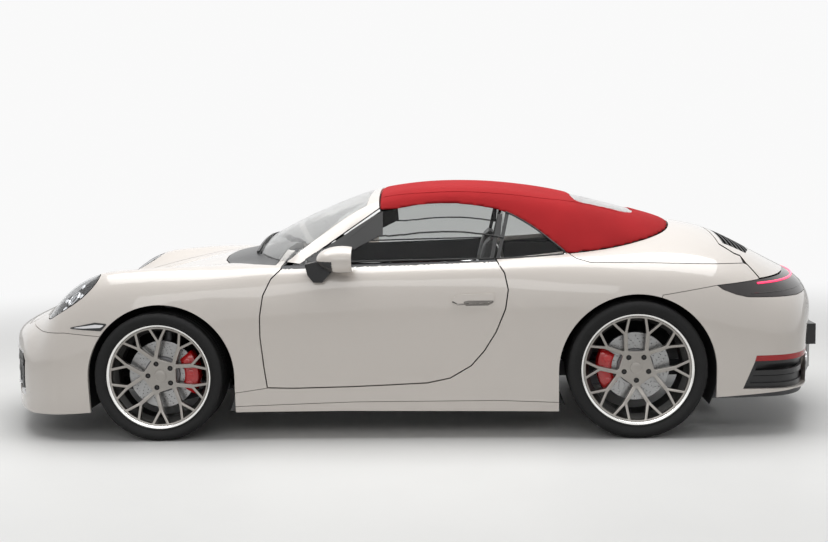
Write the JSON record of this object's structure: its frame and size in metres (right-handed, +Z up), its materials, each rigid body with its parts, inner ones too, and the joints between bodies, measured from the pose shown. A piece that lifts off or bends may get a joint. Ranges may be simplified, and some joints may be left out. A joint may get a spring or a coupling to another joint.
{
  "type": "convertible sports car",
  "caption": "Low two-door convertible with raised fabric top, full-width tail lamp, steering front wheels, opening doors, bonnet and engine lid.",
  "frame": {"origin": "on the ground under the middle of the overall length", "axes": "+X towards the tail, +Z up, -Y towards the car's left side"},
  "size_m": [4.519, 2.006, 1.2999],
  "materials": {
    "paint": "glossy pale warm off-white grey paint",
    "black_trim": "satin black plastic",
    "grille_black": "black slats",
    "structure": "dark coated sheet steel",
    "liner": "rough black plastic",
    "glass": "tinted window glass",
    "lens": "clear lamp lens",
    "red_lens": "smoked red lamp lens",
    "top_fabric": "woven red canvas",
    "rim": "satin grey alloy with a bright edge",
    "tyre": "black rubber",
    "disc": "drilled steel disc",
    "caliper": "red enamel",
    "knuckle": "cast alloy",
    "axle": "cast and tubular alloy",
    "engine": "plain block for engine and gearbox",
    "cabin_plastic": "soft black cabin trim",
    "leather": "black leather",
    "steel": "polished steel"
  },
  "bodies": {
    "body": {"front_bumper": "paint", "headlamps": "lens", "front_wings": "paint", "cowl_panel": "black_trim", "rear_quarters": "paint", "top_cover": "paint", "tail_lamps": "red_lens", "rear_bumper": "paint", "rear_inner_shell": "structure", "windscreen_frame": "paint", "windscreen": "glass", "soft_top": "top_fabric", "rear_windows": "glass", "rear_knuckles": "knuckle", "rear_calipers": "caliper", "arch_liners": "liner", "side_skirts": "paint", "front_inner_shell": "structure", "front_axle": "axle", "engine_block": "engine", "rear_axle": "axle", "dashboard": "cabin_plastic", "front_seats": "leather", "floor_pan": "structure", "luggage_tub": "structure", "front_structure": "structure", "rear_structure": "structure", "rear_seats": "leather", "exhaust_tips": "steel", "rear_diffuser": "black_trim", "front_grilles": "grille_black", "wipers": "black_trim"},
    "bonnet": {"bonnet": "paint"},
    "engine_lid": {"engine_lid": "paint", "inlet_grille": "grille_black"},
    "steering_wheel": {"steering_wheel": "leather"},
    "door_left": {"door_left": "paint", "door_glass_left": "glass", "mirror_left": "paint"},
    "front_carrier_left": {"front_knuckle_left": "knuckle", "front_caliper_left": "caliper"},
    "front_wheel_left": {"front_rim_left": "rim", "front_tyre_left": "tyre", "front_brake_disc_left": "disc"},
    "rear_wheel_left": {"rear_rim_left": "rim", "rear_tyre_left": "tyre", "rear_brake_disc_left": "disc"},
    "door_right": {"door_right": "paint", "door_glass_right": "glass", "mirror_right": "paint"},
    "front_carrier_right": {"front_knuckle_right": "knuckle", "front_caliper_right": "caliper"},
    "front_wheel_right": {"front_rim_right": "rim", "front_tyre_right": "tyre", "front_brake_disc_right": "disc"},
    "rear_wheel_right": {"rear_rim_right": "rim", "rear_tyre_right": "tyre", "rear_brake_disc_right": "disc"}
  },
  "joints": [
    {"name": "steer_left", "type": "hinge", "parent": "body", "child": "front_carrier_left", "pos_m": [-1.2495, -0.7165, 0.192], "axis": [0, 0.2317, 0.9728], "range_deg": [-33, 33]},
    {"name": "steer_right", "type": "hinge", "parent": "body", "child": "front_carrier_right", "pos_m": [-1.2495, 0.7165, 0.192], "axis": [0, -0.2317, 0.9728], "range_deg": [-33, 33]},
    {"name": "steering_wheel_turn", "type": "hinge", "parent": "body", "child": "steering_wheel", "pos_m": [-0.2995, -0.37, 0.8], "axis": [0.9135, 0, 0.4067], "range_deg": [-470, 470]},
    {"name": "front_wheel_left_spin", "type": "hinge", "parent": "front_carrier_left", "child": "front_wheel_left", "pos_m": [-1.2495, -0.7915, 0.334], "axis": [0, 1, 0], "continuous": true},
    {"name": "front_wheel_right_spin", "type": "hinge", "parent": "front_carrier_right", "child": "front_wheel_right", "pos_m": [-1.2495, 0.7915, 0.334], "axis": [0, 1, 0], "continuous": true},
    {"name": "rear_wheel_left_spin", "type": "hinge", "parent": "body", "child": "rear_wheel_left", "pos_m": [1.2005, -0.774, 0.352], "axis": [0, 1, 0], "continuous": true},
    {"name": "rear_wheel_right_spin", "type": "hinge", "parent": "body", "child": "rear_wheel_right", "pos_m": [1.2005, 0.774, 0.352], "axis": [0, 1, 0], "continuous": true},
    {"name": "door_left_swing", "type": "hinge", "parent": "body", "child": "door_left", "pos_m": [-0.718, -0.893, 0.5], "axis": [0, 0, -1], "range_deg": [0, 65]},
    {"name": "door_right_swing", "type": "hinge", "parent": "body", "child": "door_right", "pos_m": [-0.718, 0.893, 0.5], "axis": [0, 0, 1], "range_deg": [0, 65]},
    {"name": "bonnet_lift", "type": "hinge", "parent": "body", "child": "bonnet", "pos_m": [-0.922, 0, 0.909], "axis": [0, 1, 0], "range_deg": [0, 60]},
    {"name": "engine_lid_lift", "type": "hinge", "parent": "body", "child": "engine_lid", "pos_m": [1.742, 0, 1.006], "axis": [0, -1, 0], "range_deg": [0, 60]}
  ],
  "couplings": [
    {"joint": "steer_right", "follows": "steer_left", "ratio": 1},
    {"joint": "steering_wheel_turn", "follows": "steer_left", "ratio": 14}
  ]
}
